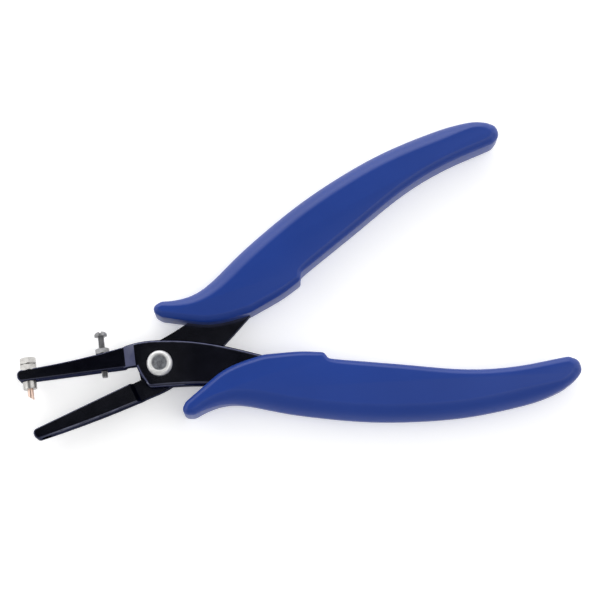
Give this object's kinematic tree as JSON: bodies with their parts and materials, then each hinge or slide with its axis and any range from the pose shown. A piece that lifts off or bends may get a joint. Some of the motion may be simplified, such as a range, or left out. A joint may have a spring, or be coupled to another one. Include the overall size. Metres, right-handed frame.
{
  "type": "hole punch pliers",
  "caption": "Single-hole punch pliers for thin sheet: lapped black steel levers, blue moulded grips, replaceable punch pin and a small gauge stop screw",
  "frame": {"origin": "on the pivot axis, on the flat end of the rivet's tail, in the plane of the table that the tool lies on", "axes": "+X between the handles, -X between the jaws, +Z the pivot axis, out of the face with the dished rivet head, +Y towards the upper jaw with the punch"},
  "size_m": [0.1612, 0.0888, 0.011],
  "materials": {
    "black_steel": "black oxide, satin, paler on worn edges",
    "blue_grip": "soft moulded vinyl, fine satin grain",
    "rivet_steel": "bright turned ring, grey stippled dish",
    "spring_steel": "oiled spring wire",
    "nickel_plate": "nickel plated, lightly scuffed",
    "punch_steel": "hardened steel with a copper-coloured temper tint"
  },
  "bodies": {
    "front_lever": {"front_lever": "black_steel", "lower_grip": "blue_grip", "pivot_rivet": "rivet_steel", "return_spring": "spring_steel", "punch_sleeve": "nickel_plate"},
    "back_lever": {"back_lever": "black_steel", "upper_grip": "blue_grip"},
    "punch_pin": {"punch_pin": "punch_steel"},
    "punch_cap_screw": {"punch_cap_screw": "nickel_plate"},
    "punch_lock_nut": {"punch_lock_nut": "nickel_plate"},
    "gauge_screw": {"gauge_screw": "nickel_plate"},
    "gauge_nut": {"gauge_nut": "nickel_plate"}
  },
  "joints": [
    {"name": "lever_close", "type": "hinge", "parent": "front_lever", "child": "back_lever", "pos_m": [0, 0, 0.0055], "axis": [0, 0, -1], "range_deg": [0, 17.3], "stiffness_Nm_per_rad": 0.25, "springref_deg": -17.19},
    {"name": "punch_slide", "type": "slide", "parent": "front_lever", "child": "punch_pin", "axis": [0.1599, 0.9871, 0], "range_m": [0, 0.002]},
    {"name": "cap_turn", "type": "hinge", "parent": "punch_pin", "child": "punch_cap_screw", "pos_m": [-0.03783, 0.0116, 0.0055], "axis": [0.1599, 0.9871, 0], "range_deg": [0, 1440]},
    {"name": "lock_nut_turn", "type": "hinge", "parent": "front_lever", "child": "punch_lock_nut", "pos_m": [-0.03812, 0.00982, 0.0055], "axis": [0.1599, 0.9871, 0], "continuous": true},
    {"name": "gauge_slide", "type": "slide", "parent": "front_lever", "child": "gauge_screw", "axis": [0.1599, 0.9871, 0], "range_m": [0, 0.0018]},
    {"name": "gauge_nut_turn", "type": "hinge", "parent": "front_lever", "child": "gauge_nut", "pos_m": [-0.01562, 0.00835, 0.0055], "axis": [0.1599, 0.9871, 0], "continuous": true}
  ],
  "couplings": [
    {"joint": "cap_turn", "follows": "punch_slide", "rad_per_m": 12566}
  ]
}
